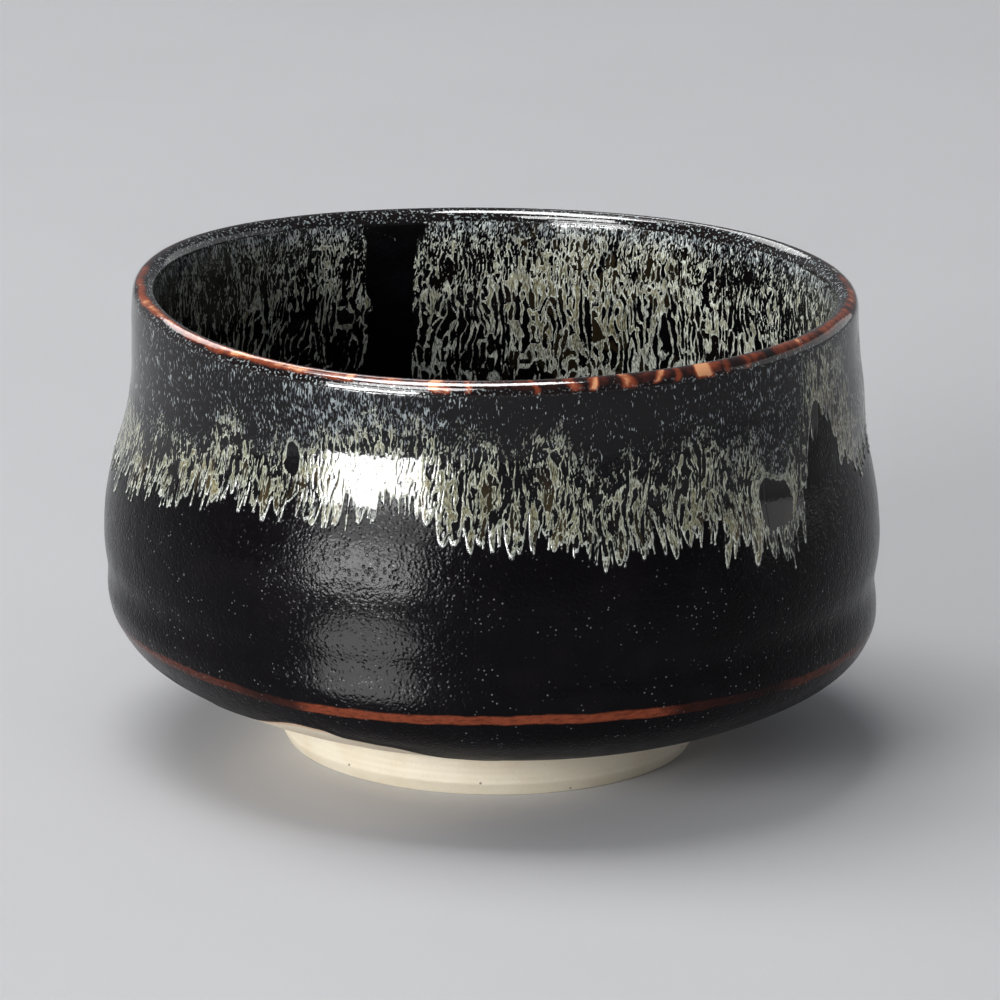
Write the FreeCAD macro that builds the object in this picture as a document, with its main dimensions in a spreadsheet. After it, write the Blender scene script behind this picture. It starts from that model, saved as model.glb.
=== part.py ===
import FreeCAD, Part
import math
import os
import Sketcher
from FreeCAD import Placement, Rotation, Vector

# A thrown stoneware tea bowl: a clay body on a turned foot ring, under three glazes.
# Millimetres, +Z up, the bowl's axis on Z and the foot standing on z = 0.
#
# The clay's whole section, from the foot up the outside, over the lip and down the
# inside to the axis, is one run of tangent links. Every sub-part's sketch draws that
# run from the same cells, so the glaze coats lie on the clay face to face.

DIMENSIONS = [
    # alias, value, what it is
    ("table_height", 0.0, "what the foot stands on"),
    ("foot_base_radius", 32.8, "outer edge of the face that the bowl stands on"),
    ("foot_radius", 33.9, "outer wall of the foot ring"),
    ("foot_bevel_height", 2.0, "height of the bevel round the foot's outer edge"),
    ("foot_height", 7.6, "where the foot ring meets the underside"),
    ("foot_inner_base_radius", 28.6, "inner edge of the face that the bowl stands on"),
    ("foot_inner_bevel_height", 0.8, "height of the bevel round the foot's inner edge"),
    ("foot_inner_radius", 27.5, "inner wall of the foot ring"),
    ("recess_height", 5.2, "ceiling of the recess inside the foot ring"),
    ("underside_heading", 12.6, "rise of the trimmed underside, degrees"),
    ("bare_underside_length", 1.2, "clay left bare beside the foot"),
    ("glazed_underside_length", 5.2, "straight part of the underside below the glaze"),
    ("hip_low_radius", 50.6, "curve of the underside into the hip"),
    ("hip_low_sweep", 20.5, "degrees"),
    ("hip_high_radius", 10.9, "tight turn of the hip up into the wall"),
    ("hip_high_sweep", 64.1, "degrees"),
    ("groove_radius", 12.9, "throwing groove above the hip"),
    ("groove_sweep", 18.2, "degrees"),
    ("belly_low_radius", 22.7, "lower half of the belly"),
    ("belly_low_sweep", 11.3, "degrees"),
    ("belly_high_radius", 46.5, "upper half of the belly, below the drips"),
    ("belly_high_sweep", 8.3, "degrees"),
    ("belly_top_radius", 46.5, "the same curve carried on under the drips"),
    ("belly_top_sweep", 9.0, "degrees"),
    ("waist_radius", 29.4, "hollow above the belly"),
    ("waist_sweep", 11.1, "degrees"),
    ("neck_radius", 175.6, "nearly straight wall below the lip"),
    ("neck_sweep", 6.1, "degrees"),
    ("lip_radius", 1.35, "rounding of the clay at the lip"),
    ("lip_sweep", 174.0, "degrees"),
    ("inner_neck_radius", 92.0, "inside of the neck"),
    ("inner_neck_sweep", 15.6, "degrees"),
    ("inner_belly_radius", 73.3, "inside of the belly"),
    ("inner_belly_sweep", 12.3, "degrees"),
    ("inner_hip_radius", 18.5, "turn of the inside wall into the floor"),
    ("inner_hip_sweep", 67.5, "degrees"),
    ("well_radius", 56.9, "curve of the hip into the flat of the well"),
    ("well_sweep", 20.6, "degrees, as drawn before the sketch levels the floor"),
    ("black_thickness", 0.5, "black glaze coat"),
    ("running_thickness", 0.35, "pale running glaze over the black"),
    ("inner_gap_width", 9.0, "stripe inside the bowl that the running glaze missed, degrees"),
    ("inner_gap_heading", 109.0, "middle of that stripe, degrees round from +X"),
    ("drip_count", 30, "drips of running glaze round the outside"),
    ("drip_gap_width", 5.0, "bare gap between two drips"),
    ("drip_gap_top", 50.0, "middle height at which the gaps close"),
    ("drip_gap_swing", 3.5, "how far the gaps' tops stray from that height"),
    ("drip_gap_stride", 137.5, "degrees of swing from one gap to the next"),
    ("drip_gap_floor", 37.0, "where the gaps start, below every drip"),
    ("drip_gap_inner_radius", 55.0, "where the gaps start, inside the coat"),
    ("drip_gap_reach", 12.0, "how far the gaps reach outward"),
]

# The links of the clay's section in order: name and turn, +1 for a left turn along the
# run, -1 for a right turn and 0 for a straight line.
LINKS = [
    ("bare_underside", 0),
    ("glazed_underside", 0),
    ("hip_low", 1),
    ("hip_high", 1),
    ("groove", -1),
    ("belly_low", 1),
    ("belly_high", 1),
    ("belly_top", 1),
    ("waist", -1),
    ("neck", -1),
    ("lip", 1),
    ("inner_neck", 1),
    ("inner_belly", -1),
    ("inner_hip", -1),
    ("well", -1),
]
LAST_LINK = LINKS[-1][0]
# Sketch references: an end of a piece of geometry, the origin and the upright axis.
START, END = 1, 2
ORIGIN = (-1, START)
BOWL_AXIS = -2
FIRST_GEOMETRY = 0


def make_sheet(doc):
    """The spreadsheet of driving dimensions."""
    sheet = doc.addObject("Spreadsheet::Sheet", "Dims")
    for row, (alias, value, note) in enumerate(DIMENSIONS, start=1):
        sheet.set("A%d" % row, note)
        sheet.set("B%d" % row, str(value))
        sheet.setAlias("B%d" % row, alias)
    doc.recompute()
    return sheet


def along(heading, distance):
    """Vector of the given length along a heading in degrees."""
    angle = math.radians(heading)
    return Vector(distance * math.cos(angle), distance * math.sin(angle), 0)


class Section:
    """A sketch on a body's XZ plane, drawn as runs of tangent links bound to the sheet."""

    def __init__(self, body, sheet):
        self.sheet = sheet
        self.sketch = body.newObject("Sketcher::SketchObject", body.Name + "_section")
        plane = [f for f in body.Origin.OriginFeatures if f.Role == "XZ_Plane"][0]
        self.sketch.AttachmentSupport = [(plane, "")]
        self.sketch.MapMode = "FlatFace"

    def size(self, *cells):
        """Sum of the named cells."""
        return sum(self.sheet.get(cell) for cell in cells)

    def bind(self, constraint, expression):
        """Add one dimension and drive it from the sheet."""
        index = self.sketch.addConstraint(constraint)
        self.sketch.setExpression("Constraints[%d]" % index, expression)

    def join(self, kind, first, second):
        """Join two (geometry, point) ends."""
        self.sketch.addConstraint(Sketcher.Constraint(kind, *first, *second))

    def hold(self, kind, number):
        """Keep a line level or upright."""
        self.sketch.addConstraint(Sketcher.Constraint(kind, number))

    def pin(self, end, across, up):
        """Place an end by the cells for its distance from the axis and its height."""
        self.bind(Sketcher.Constraint("DistanceX", *ORIGIN, *end, self.size(across)), "Dims." + across)
        self.bind(Sketcher.Constraint("DistanceY", *ORIGIN, *end, self.size(up)), "Dims." + up)

    def line(self, first, second, construction=False):
        """Add a line and return its geometry number."""
        return self.sketch.addGeometry(Part.LineSegment(first, second), construction)

    def straight_link(self, name, point, heading, construction):
        """Add one straight link; return its two ends and its last point."""
        length = self.size(name + "_length")
        target = point + along(heading, length)
        number = self.line(point, target, construction)
        self.bind(Sketcher.Constraint("Distance", number, length), "Dims.%s_length" % name)
        return (number, START), (number, END), target

    def arc_link(self, name, turn, point, heading, coats, construction):
        """Add one arc of the run, moved out by the coats; return its ends and last point."""
        radius = self.size(name + "_radius") + turn * self.size(*coats)
        sweep = self.size(name + "_sweep")
        centre = point + along(heading + 90 * turn, radius)
        first = heading - 90 * turn
        last = first + sweep * turn
        low, high = sorted((math.radians(first), math.radians(last)))
        circle = Part.Circle(centre, Vector(0, 0, 1), radius)
        number = self.sketch.addGeometry(Part.ArcOfCircle(circle, low, high), construction)
        sign = " + " if turn > 0 else " - "
        terms = ["Dims.%s" % cell for cell in [name + "_radius"] + coats]
        self.bind(Sketcher.Constraint("Radius", number, radius), sign.join(terms))
        if name != LAST_LINK:
            self.bind(Sketcher.Constraint("Angle", number, math.radians(sweep)),
                      "Dims.%s_sweep * 1 deg" % name)
        tail, head = ((number, START), (number, END))[::turn]
        return tail, head, centre + along(last, radius)

    def run(self, links, tail, first_join, point, heading, coats, construction):
        """Draw links on from an end, moved out from the clay's surface by the coats.

        Returns the run's last end, its point and its heading in degrees.
        """
        join = first_join
        for name, turn in links:
            if turn == 0:
                link_tail, link_head, point = self.straight_link(name, point, heading, construction)
            else:
                link_tail, link_head, point = self.arc_link(
                    name, turn, point, heading, coats, construction)
                heading += turn * self.size(name + "_sweep")
            if tail is not None:
                self.join(join, tail, link_tail)
            tail = link_head
            join = "Tangent"
        return tail, point, heading

    def clay_surface(self, links, construction):
        """Draw the clay's surface from the foot; return its last end, point and heading."""
        start = Vector(self.size("foot_radius"), self.size("foot_height"), 0)
        heading = self.size("underside_heading")
        result = self.run(links, None, None, start, heading, [], construction)
        self.pin((FIRST_GEOMETRY, START), "foot_radius", "foot_height")
        self.bind(Sketcher.Constraint("Angle", FIRST_GEOMETRY, math.radians(heading)),
                  "Dims.underside_heading * 1 deg")
        return result

    def level_floor(self, tail, point):
        """End a run with a level line to the axis; return that line's end and point."""
        centre = Vector(0, point.y, 0)
        number = self.line(point, centre)
        self.hold("Horizontal", number)
        self.join("Tangent", tail, (number, START))
        self.sketch.addConstraint(Sketcher.Constraint("PointOnObject", number, END, BOWL_AXIS))
        return (number, END), centre

    def cap(self, tail, join, point, heading, coat, construction):
        """Step square out from a surface by one coat; return the step's ends and last point."""
        thickness = self.size(coat)
        target = point + along(heading - 90, thickness)
        number = self.line(point, target, construction)
        self.join(join, tail, (number, START))
        self.bind(Sketcher.Constraint("Distance", number, thickness), "Dims." + coat)
        return (number, START), (number, END), target


def new_body(doc, label):
    """An empty body whose label names its sub-part."""
    body = doc.addObject("PartDesign::Body", label)
    body.Label = label
    return body


def revolve(body, section):
    """Turn a body's section round the bowl's axis."""
    turned = body.newObject("PartDesign::Revolution", body.Name + "_turned")
    turned.Profile = section.sketch
    turned.ReferenceAxis = (section.sketch, ["V_Axis"])
    turned.Angle = 360
    return turned


def make_clay_body(doc, sheet):
    """Wall and floor, with a short boss underneath that the foot ring fits round."""
    body = new_body(doc, "clay_body")
    section = Section(body, sheet)
    tail, point, _ = section.clay_surface(LINKS, False)
    tail, point = section.level_floor(tail, point)
    boss_radius = sheet.get("foot_inner_radius")
    ceiling = sheet.get("recess_height")
    shoulder = sheet.get("foot_height")
    route = [
        ("Vertical", Vector(0, ceiling, 0)),
        ("Horizontal", Vector(boss_radius, ceiling, 0)),
        ("Vertical", Vector(boss_radius, shoulder, 0)),
        ("Horizontal", Vector(sheet.get("foot_radius"), shoulder, 0)),
    ]
    numbers = []
    for direction, target in route:
        number = section.line(point, target)
        section.hold(direction, number)
        section.join("Coincident", tail, (number, START))
        tail, point = (number, END), target
        numbers.append(number)
    section.pin((numbers[1], END), "foot_inner_radius", "recess_height")
    section.join("Coincident", tail, (FIRST_GEOMETRY, START))
    revolve(body, section)
    return body


def make_foot_ring(doc, sheet):
    """The turned foot, bevelled outside and in, that the bowl stands on."""
    body = new_body(doc, "foot_ring")
    section = Section(body, sheet)
    corners = [
        ("foot_base_radius", "table_height"),
        ("foot_radius", "foot_bevel_height"),
        ("foot_radius", "foot_height"),
        ("foot_inner_radius", "foot_height"),
        ("foot_inner_radius", "foot_inner_bevel_height"),
        ("foot_inner_base_radius", "table_height"),
    ]
    points = [Vector(sheet.get(across), sheet.get(up), 0) for across, up in corners]
    numbers = [section.line(a, b) for a, b in zip(points, points[1:] + points[:1])]
    for number, (across, up) in zip(numbers, corners):
        section.join("Coincident", (numbers[number - 1], END), (number, START))
        section.pin((number, START), across, up)
    revolve(body, section)
    return body


def make_coat(doc, sheet, label, first_link, last_link, under, coat):
    """A coat of glaze from one link to another, lying on the coats listed in under."""
    names = [name for name, _ in LINKS]
    first = names.index(first_link)
    covered = LINKS[first:names.index(last_link) + 1]
    body = new_body(doc, label)
    section = Section(body, sheet)
    tail, point, heading = section.clay_surface(LINKS[:first], True)
    join = "Perpendicular"
    for lower in under:
        _, tail, point = section.cap(tail, join, point, heading, lower, True)
        join = "Tangent"
    inside, outside, outer_point = section.cap(tail, join, point, heading, coat, False)
    inner_end, inner_point, _ = section.run(
        covered, inside, "Perpendicular", point, heading, under, False)
    outer_end, outer_point, _ = section.run(
        covered, outside, "Perpendicular", outer_point, heading, under + [coat], False)
    if last_link == LAST_LINK:
        inner_end, inner_point = section.level_floor(inner_end, inner_point)
        outer_end, outer_point = section.level_floor(outer_end, outer_point)
    closing = section.line(inner_point, outer_point)
    section.join("Coincident", inner_end, (closing, START))
    section.join("Coincident", outer_end, (closing, END))
    return body, revolve(body, section)


def make_running_glaze_inner(doc, sheet):
    """The pale glaze inside, a band left open where the bare stripe runs down."""
    body, turned = make_coat(doc, sheet, "running_glaze_inner", "inner_neck", "inner_belly",
                             ["black_thickness"], "running_thickness")
    turned.setExpression("Angle", "360 deg - Dims.inner_gap_width * 1 deg")
    body.Placement = Placement(Vector(), Rotation(Vector(0, 0, 1), sheet.get("inner_gap_heading")))
    body.setExpression("Placement.Rotation.Angle",
                       "(Dims.inner_gap_heading + Dims.inner_gap_width / 2) * 1 deg")
    return body


def make_drip_gap(doc, sheet, index):
    """The round-topped slot between two drips, reaching through the wall."""
    turn = Rotation(Vector(0, 0, 1), 360.0 * index / sheet.get("drip_count"))
    swing = "sin(%d * Dims.drip_gap_stride * 1 deg)" % index
    top = sheet.get("drip_gap_top") + sheet.get("drip_gap_swing") * math.sin(
        math.radians(index * sheet.get("drip_gap_stride")))
    width = sheet.get("drip_gap_width")
    inward = sheet.get("drip_gap_inner_radius")

    slot = doc.addObject("Part::Box", "gap_slot_%02d" % index)
    slot.setExpression("Length", "Dims.drip_gap_reach")
    slot.setExpression("Width", "Dims.drip_gap_width")
    slot.setExpression("Height", "Dims.drip_gap_top + Dims.drip_gap_swing * %s"
                                 " - Dims.drip_gap_floor" % swing)
    slot.Placement = Placement(turn.multVec(Vector(inward, -width / 2, sheet.get("drip_gap_floor"))),
                               turn)

    crown = doc.addObject("Part::Cylinder", "gap_crown_%02d" % index)
    crown.setExpression("Radius", "Dims.drip_gap_width / 2")
    crown.setExpression("Height", "Dims.drip_gap_reach")
    sideways = Rotation(Vector(0, 0, 1), Vector(1, 0, 0))
    crown.Placement = Placement(turn.multVec(Vector(inward, 0, top)), turn.multiply(sideways))
    return [slot, crown]


def make_running_glaze_outer(doc, sheet):
    """The pale glaze outside, a band whose lower edge hangs in drips."""
    band, _ = make_coat(doc, sheet, "running_band", "belly_top", "neck",
                        ["black_thickness"], "running_thickness")
    gaps = doc.addObject("Part::MultiFuse", "drip_gaps")
    gaps.Shapes = [
        shape
        for index in range(int(sheet.get("drip_count")))
        for shape in make_drip_gap(doc, sheet, index)
    ]
    dripping = doc.addObject("Part::Cut", "running_glaze_outer")
    dripping.Label = "running_glaze_outer"
    dripping.Base = band
    dripping.Tool = gaps
    return dripping


def check(doc, nodes):
    """Stop unless every object computed and every sub-part is one valid solid."""
    for item in doc.Objects:
        if {"Invalid", "Error"} & set(item.State):
            raise RuntimeError("%s did not compute: %s" % (item.Label, item.State))
    for node in nodes:
        shape = node.Shape
        if shape.isNull() or not shape.isValid() or len(shape.Solids) != 1:
            raise RuntimeError("%s is not one valid solid" % node.Label)
        box = shape.optimalBoundingBox()
        print("%-20s %9.1f mm3  across %.2f  z %.2f to %.2f"
              % (node.Label, shape.Volume, box.XLength, box.ZMin, box.ZMax))


def main():
    doc = FreeCAD.newDocument("TeaBowl")
    sheet = make_sheet(doc)
    black = "black_thickness"
    outer_black, _ = make_coat(doc, sheet, "outer_black_glaze", "glazed_underside", "neck", [], black)
    lip, _ = make_coat(doc, sheet, "lip_iron_glaze", "lip", "lip", [], black)
    inner_black, _ = make_coat(doc, sheet, "inner_black_glaze", "inner_neck", LAST_LINK, [], black)
    nodes = [
        make_clay_body(doc, sheet),
        make_foot_ring(doc, sheet),
        outer_black,
        lip,
        inner_black,
        make_running_glaze_outer(doc, sheet),
        make_running_glaze_inner(doc, sheet),
    ]
    doc.recompute()
    check(doc, nodes)
    os.makedirs("parts", exist_ok=True)
    for node in nodes:
        node.Shape.exportStep(os.path.join("parts", node.Label + ".step"))


main()
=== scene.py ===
import math

import bpy
import numpy as np
from mathutils import Matrix, Vector


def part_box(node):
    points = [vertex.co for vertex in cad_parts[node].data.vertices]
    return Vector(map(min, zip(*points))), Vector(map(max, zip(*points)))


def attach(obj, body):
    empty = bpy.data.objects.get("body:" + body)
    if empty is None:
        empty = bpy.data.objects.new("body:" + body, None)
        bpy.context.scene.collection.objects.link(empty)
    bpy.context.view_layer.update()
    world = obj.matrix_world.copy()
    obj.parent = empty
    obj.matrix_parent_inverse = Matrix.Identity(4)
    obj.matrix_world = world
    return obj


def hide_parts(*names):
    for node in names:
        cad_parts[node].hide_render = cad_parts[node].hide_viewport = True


# The looks of a stoneware tea bowl: black iron glaze, a rust lip and pale glaze that ran
# down the wall in strands. Metres, +Z up, the bowl's axis on Z, its front towards -Y.
#
# Every surface is the CAD section turned round the axis and given what a wheel and a kiln
# leave: an uneven rim, throwing ridges, a break line on the hip and runs of glaze.

MM = 0.001
FULL_TURN = 2 * math.pi

# The camera, at the photograph's angle: metres, degrees and a lens in mm.
CAMERA_DISTANCE = 1.100
CAMERA_HEIGHT = 0.357
CAMERA_PITCH = 16.11
CAMERA_ROLL = 0.91
CAMERA_YAW = 0.065
CAMERA_LENS = 255.1

SECTION_STEP = 0.05 * MM  # the section of the bowl is sampled this finely
SECTION_EASE = 0.45 * MM  # and the seams between its coats are smoothed over this far
# Points (radius, height) that the coats outside and inside face away from and towards.
OUTSIDE_EYE = (0.0, 40 * MM)
INSIDE_EYE = (0.0, 60 * MM)

# How the thrown shape strays from the turned one: waves of the rim, throwing ridges, dents.
RIM_WAVES = ((2, 0.58, -0.29), (3, -0.25, 0.20))  # lobes, cosine and sine parts in mm
RIDGE_DEPTH = 0.010 * MM
RIDGE_PITCH = 6.3 * MM
DENT_DEPTH = 0.05 * MM

# The break line, where the glaze thins to rust on an edge of the hip: its height in mm and
# how strongly it shows, by degrees round from +X.
BREAK_HEIGHT = (
    (-180, 21.9), (-135, 21.7), (-119, 21.0), (-104, 21.3), (-85, 21.9), (60, 21.9),
)
BREAK_STRENGTH = (
    (-170, 0.10), (-150, 0.35), (-134, 0.30), (-125, 0.10), (-120, 0.15), (-116, 1.0),
    (-65, 1.0), (-61, 0.15), (-44, 0.05), (-38, 0.35), (-22, 0.40), (-8, 0.0), (50, 0.1),
    (80, 0.55), (110, 0.5), (140, 0.1),
)

# The lower edge of the black glaze: distance along the section from beside the foot, in mm.
GLAZE_EDGE = (
    (-170, 2.0), (-155, 11.0), (-142, 18.6), (-134, 19.8), (-121, 24.0), (-117, 23.6),
    (-113, 21.0), (-107, 19.8), (-96, 12.5), (-84, 5.0), (-65, 1.2), (0, 0.6), (100, 1.4),
)
BARE_LEVEL = 0.15 * MM  # bare clay stands this much below the glaze's surface
TUCK = 0.06 * MM  # the black coats lie this much deeper under the running glaze at the lip
LIP_OVERLAP = 0.6 * MM  # the lip's glaze and the running glaze overlap this far
LIP_DIP = 0.015 * MM  # and the edge of each dips this much under the other
CAP_RADIUS = 0.6 * MM  # flat caps of about this size close the shells on the axis

# Round the lip by degrees: how rusty it is, how many pale threads cross it, how far down in
# mm the rust reaches, and single rusty blotches (degrees, half-width in degrees, strength).
LIP_RUST = (
    (-180, 0.75), (-160, 1.00), (-130, 1.12), (-112, 1.05), (-103, 0.80), (-98, 0.36),
    (-90, 0.20), (-66, 0.22), (-56, 0.34), (-45, 0.60), (-30, 0.72), (-3, 0.66), (15, 0.2),
    (90, 0.05), (165, 0.1),
)
LIP_THREADS = (
    (-175, 0.6), (-140, 0.5), (-110, 0.3), (-95, 0.3), (-80, 0.3), (-62, 0.6), (-48, 0.7),
    (-35, 0.4), (-20, 0.4), (0, 0.7), (30, 0.4), (150, 0.4),
)
LIP_REACH = ((-180, 1.2), (-125, 1.4), (-105, 1.8), (-60, 2.1), (-30, 2.0), (0, 1.5), (90, 1.2))
LIP_BLOTCHES = (
    (-98.5, 1.4, 0.95), (-94.0, 0.8, 0.75), (-84.5, 0.5, 0.6), (-77.5, 1.0, 1.0),
    (-75.0, 0.8, 1.05), (-69.5, 1.0, 0.85), (-64.0, 0.8, 0.75), (-61.0, 0.7, 0.7),
    (-56.0, 1.5, 0.95), (-51.5, 1.0, 0.8), (-47.5, 0.8, 0.75),
)

# The running glaze: heights of its lower edge outside in mm, by degrees round from +X.
DRIP_EDGE = (
    (-165, 46.0), (-149, 46.5), (-133, 50.5), (-113, 52.0), (-103, 52.5), (-92, 50.0),
    (-80, 48.5), (-72, 45.5), (-61, 48.5), (-51, 44.5), (-40.5, 42.0), (-37.5, 46.0),
    (-32, 60.0), (-27, 61.0), (-23, 55.0), (-15, 50.0), (-4, 50.5), (20, 48.0),
    (60, 50.5), (100, 46.0), (140, 50.0), (170, 49.0),
)
SECTORS = 4  # each running coat is made of this many meshes

# Bare patches in the running glaze outside: degrees round, height of the middle, and
# half-sizes in degrees and in millimetres.
BARE_OUTSIDE = ((-43.0, 51.3, 3.6, 4.0), (-31.0, 61.0, 2.2, 3.6), (-122.0, 60.0, 1.3, 2.4))
# How thickly pale dashes lie under the lip outside, by degrees round.
DUST = (
    (-180, 0.60), (-150, 0.55), (-128, 0.70), (-118, 1.10), (-104, 1.15), (-95, 0.60),
    (-86, 0.35), (-70, 0.30), (-56, 0.55), (-42, 0.75), (-10, 0.65), (90, 0.7),
)
# How high and thick the strands outside are, as a share of those in front.
STRAND_SHARE = ((-180, 0.72), (-128, 0.76), (-108, 1.0), (-50, 1.0), (60, 0.9), (120, 1.0))
BARE_STRIPE = (109.0, 4.3)  # the bare stripe inside: middle and half-width in degrees

# Sizes of the drawn-out cells between the strands, from the lower ones to the upper ones:
# width and length in mm, and how far they stray.
CELLS_OUTSIDE = ((1.15, 6.0, 0.34), (0.76, 3.2, 0.38), (0.44, 1.3, 0.42))
CELLS_INSIDE = ((1.20, 4.2, 0.38), (0.76, 2.3, 0.42), (0.45, 1.0, 0.42))

# How closely the strands lie inside, and how ochre they are, by degrees round.
INSIDE_COVER = (
    (-170, 0.38), (-90, 0.55), (-20, 0.55), (20, 0.52), (48, 0.64), (60, 0.90), (72, 1.05),
    (84, 0.98), (91, 0.64), (103, 0.64), (118, 0.50), (135, 0.38), (150, 0.27), (168, 0.27),
)
INSIDE_TONE = (
    (-170, 0.2), (-60, 0.3), (20, 0.10), (50, 0.15), (68, 0.55), (85, 0.40),
    (100, 0.15), (130, 0.35), (165, 0.35),
)

# Colours.
BLACK = (0.0026, 0.0021, 0.0027)
BLACK_CLOUD = (0.0044, 0.0036, 0.0048)
# Pale specks in the black glaze: partly its own crystal specks, partly painted glints standing
# in for light caught in its pits.
SPECK_AND_GLINT = (0.26, 0.27, 0.29)
RUST = (0.27, 0.065, 0.028)
RUST_DARK = (0.16, 0.035, 0.018)
LIP_BLACK = (0.006, 0.003, 0.003)
LIP_BROWN = (0.030, 0.008, 0.006)
LIP_DARK_RUST = (0.075, 0.016, 0.008)
LIP_RED = (0.25, 0.055, 0.022)
LIP_ORANGE = (0.70, 0.33, 0.16)
LIP_THREAD = (0.66, 0.68, 0.60)
LIP_DOT = (0.40, 0.46, 0.47)
STRAND = (0.27, 0.27, 0.175)
STRAND_EDGE = (0.55, 0.575, 0.475)
STRAND_INSIDE = (0.56, 0.56, 0.40)
STRAND_EDGE_INSIDE = (0.84, 0.88, 0.78)
OCHRE = (0.20, 0.165, 0.070)
FILM_BROWN = (0.080, 0.056, 0.022)
DUST_DARK = (0.08, 0.09, 0.105)
DUST_PALE = (0.33, 0.37, 0.38)
FROST = (0.78, 0.83, 0.82)
CLAY = (0.82, 0.75, 0.60)
CLAY_WARM = (0.76, 0.66, 0.49)
CLAY_FLASH = (0.50, 0.22, 0.09)
CLAY_GRAIN = (0.58, 0.50, 0.38)
CLAY_SPECK = (0.10, 0.07, 0.05)
FLOOR = (0.56, 0.56, 0.573)
DAYLIGHT = (0.93, 0.95, 1.0)


# ---- small helpers

def smooth_step(low, high, value):
    """0 below low, 1 above high, smooth between."""
    part = np.clip((value - low) / (high - low), 0.0, 1.0)
    return part * part * (3.0 - 2.0 * part)


def bump_at(centre, width, value):
    """A bell of height 1 round the centre."""
    return np.exp(-0.5 * ((value - centre) / width) ** 2)


def angle_between(turn, degrees):
    """Smallest signed angle in degrees from the given direction."""
    return (np.degrees(turn) - degrees + 180.0) % 360.0 - 180.0


def soft_noise(rng, shape, row_size, column_size):
    """Smooth noise of unit spread that repeats at its edges; sizes are in cells."""
    rows, columns = shape
    white = rng.standard_normal(shape)
    across_rows = np.fft.fftfreq(rows)[:, None] * row_size
    across_columns = np.fft.rfftfreq(columns)[None, :] * column_size
    blur = np.exp(-2.0 * math.pi ** 2 * (across_rows ** 2 + across_columns ** 2))
    field = np.fft.irfft2(np.fft.rfft2(white) * blur, s=shape)
    return field / field.std()


def ring_noise(rng, columns, width):
    """Smooth noise round the bowl; the width is in cells."""
    return soft_noise(rng, (1, columns), 1, width)[0]


def round_table(table, turn):
    """Read a table of (degrees, value) smoothly round the bowl."""
    degrees = np.array([row[0] for row in table], dtype=float)
    values = np.array([row[1] for row in table], dtype=float)
    degrees = np.concatenate([degrees, degrees[:1] + 360.0])
    values = np.concatenate([values, values[:1]])
    wanted = (np.degrees(turn) - degrees[0]) % 360.0 + degrees[0]
    place = np.clip(np.searchsorted(degrees, wanted, side="right") - 1, 0, len(degrees) - 2)
    part = (wanted - degrees[place]) / (degrees[place + 1] - degrees[place])
    part = part * part * (3.0 - 2.0 * part)
    return values[place] * (1.0 - part) + values[place + 1] * part


# ---- the section

def exposed_profile(node, centre, side):
    """(radius, height) of a turned node's face that looks away from (side 1) or towards
    (side -1) a point of the section."""
    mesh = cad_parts[node].data
    points = set()
    for polygon in mesh.polygons:
        middle = polygon.center
        radius = math.hypot(middle.x, middle.y)
        if radius < 1e-6:
            continue
        outward = (polygon.normal.x * middle.x + polygon.normal.y * middle.y) / radius
        arm = Vector((radius - centre[0], middle.z - centre[1])).normalized()
        if side * (outward * arm.x + polygon.normal.z * arm.y) < 0.6:
            continue
        for corner in polygon.vertices:
            point = mesh.vertices[corner].co
            points.add((round(math.hypot(point.x, point.y), 6), round(point.z, 6)))
    return np.array(sorted(points))


def thin_out(points, gap):
    """Drop points that lie closer than gap to the one before."""
    kept = [points[0]]
    for point in points[1:]:
        if math.hypot(*(point - kept[-1])) > gap:
            kept.append(point)
    return np.array(kept)


def smooth_curve(points, step):
    """A natural cubic spline through the points, sampled every step along its length."""
    chord = np.concatenate([[0.0], np.cumsum(np.hypot(*np.diff(points, axis=0).T))])
    count = len(points)
    gaps = np.diff(chord)
    system = np.eye(count)
    right = np.zeros((count, 2))
    for i in range(1, count - 1):
        system[i, i - 1:i + 2] = gaps[i - 1], 2 * (gaps[i - 1] + gaps[i]), gaps[i]
        right[i] = 6 * ((points[i + 1] - points[i]) / gaps[i]
                        - (points[i] - points[i - 1]) / gaps[i - 1])
    bend = np.linalg.solve(system, right)
    place = np.linspace(0.0, chord[-1], int(chord[-1] / step) + 1)
    low = np.clip(np.searchsorted(chord, place, side="right") - 1, 0, count - 2)
    gap = gaps[low][:, None]
    after = (place - chord[low])[:, None]
    before = gap - after
    return (bend[low] * before ** 3 / (6 * gap) + bend[low + 1] * after ** 3 / (6 * gap)
            + (points[low] / gap - bend[low] * gap / 6) * before
            + (points[low + 1] / gap - bend[low + 1] * gap / 6) * after)


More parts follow.
